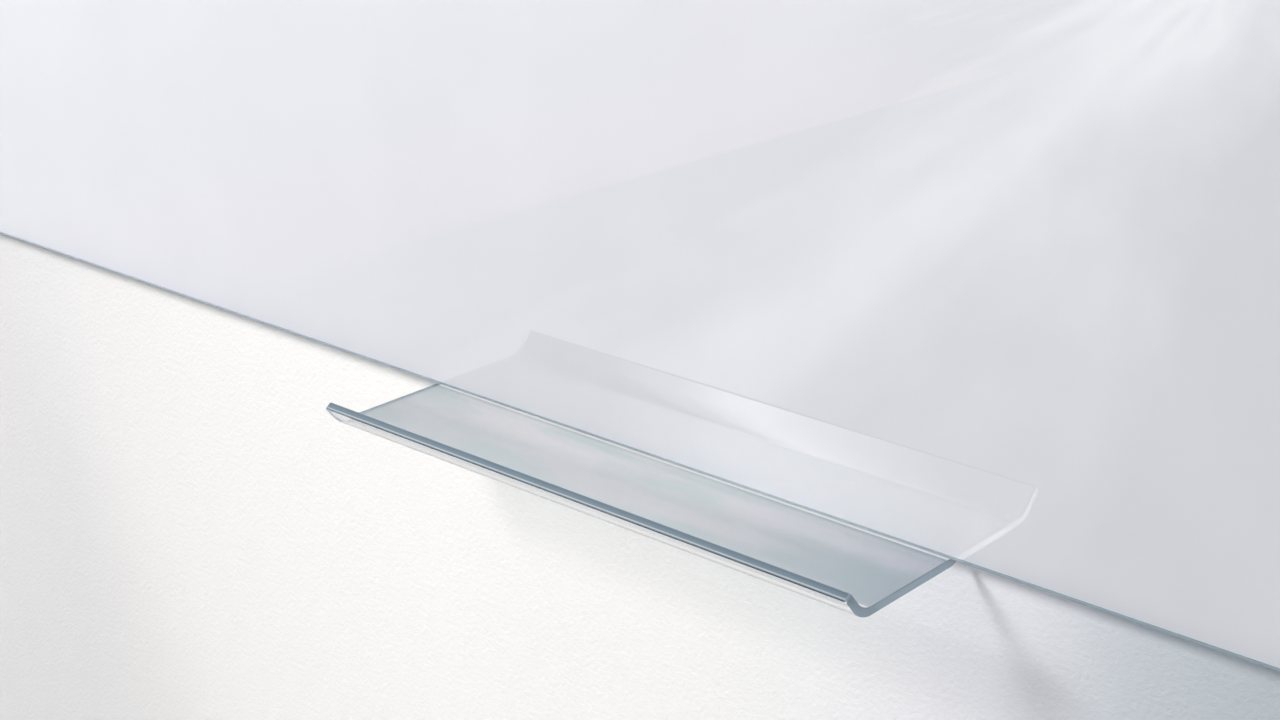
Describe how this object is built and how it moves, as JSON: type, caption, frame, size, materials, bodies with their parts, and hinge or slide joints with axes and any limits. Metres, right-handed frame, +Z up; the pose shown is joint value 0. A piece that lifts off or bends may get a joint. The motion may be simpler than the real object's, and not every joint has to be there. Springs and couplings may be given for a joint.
{
  "type": "glass whiteboard",
  "caption": "Frameless magnetic glass whiteboard that hangs close to the wall on hooked steel rails, with a bent clear acrylic pen tray that slides along its bottom edge.",
  "frame": {"origin": "middle of the pattern of wall holes, on the face of the wall; the pane is centred on it at rest", "axes": "+X along the board, +Y into the wall (the glass faces -Y), +Z up"},
  "size_m": [1.26, 0.0824, 0.715],
  "materials": {
    "toughened_glass": "polished",
    "white_enamel": "satin",
    "laminating_adhesive": "satin",
    "backing_steel": "satin",
    "rail_steel": "satin",
    "bond_tape": "matte",
    "liner_vinyl": "satin",
    "stop_nylon": "matte",
    "bumper_rubber": "matte",
    "clear_acrylic": "polished",
    "nickel_plate": "polished",
    "slip_pad": "matte"
  },
  "bodies": {
    "wall_rails": {"top_wall_rail": "rail_steel", "bottom_wall_rail": "rail_steel", "top_rail_liner": "liner_vinyl", "bottom_rail_liner": "liner_vinyl", "rail_end_stop_left": "stop_nylon", "rail_end_stop_right": "stop_nylon"},
    "board": {"glass_panel": "toughened_glass", "white_enamel": "white_enamel", "laminating_adhesive": "laminating_adhesive", "steel_backing_sheet": "backing_steel", "top_board_rail": "rail_steel", "bottom_board_rail": "rail_steel", "top_rail_bond_tape": "bond_tape", "bottom_rail_bond_tape": "bond_tape", "wall_bumper_top_left": "bumper_rubber", "wall_bumper_top_right": "bumper_rubber", "wall_bumper_bottom_left": "bumper_rubber", "wall_bumper_bottom_right": "bumper_rubber"},
    "tray": {"pen_tray": "clear_acrylic", "tray_magnet_left": "nickel_plate", "tray_magnet_middle": "nickel_plate", "tray_magnet_right": "nickel_plate", "tray_slip_pad_left": "slip_pad", "tray_slip_pad_middle": "slip_pad", "tray_slip_pad_right": "slip_pad"}
  },
  "joints": [
    {"name": "board_lift", "type": "slide", "parent": "wall_rails", "child": "board", "axis": [0, 0, 1], "range_m": [0, 0.012]},
    {"name": "tray_slide", "type": "slide", "parent": "board", "child": "tray", "axis": [1, 0, 0], "range_m": [-0.435, 0.435]}
  ]
}
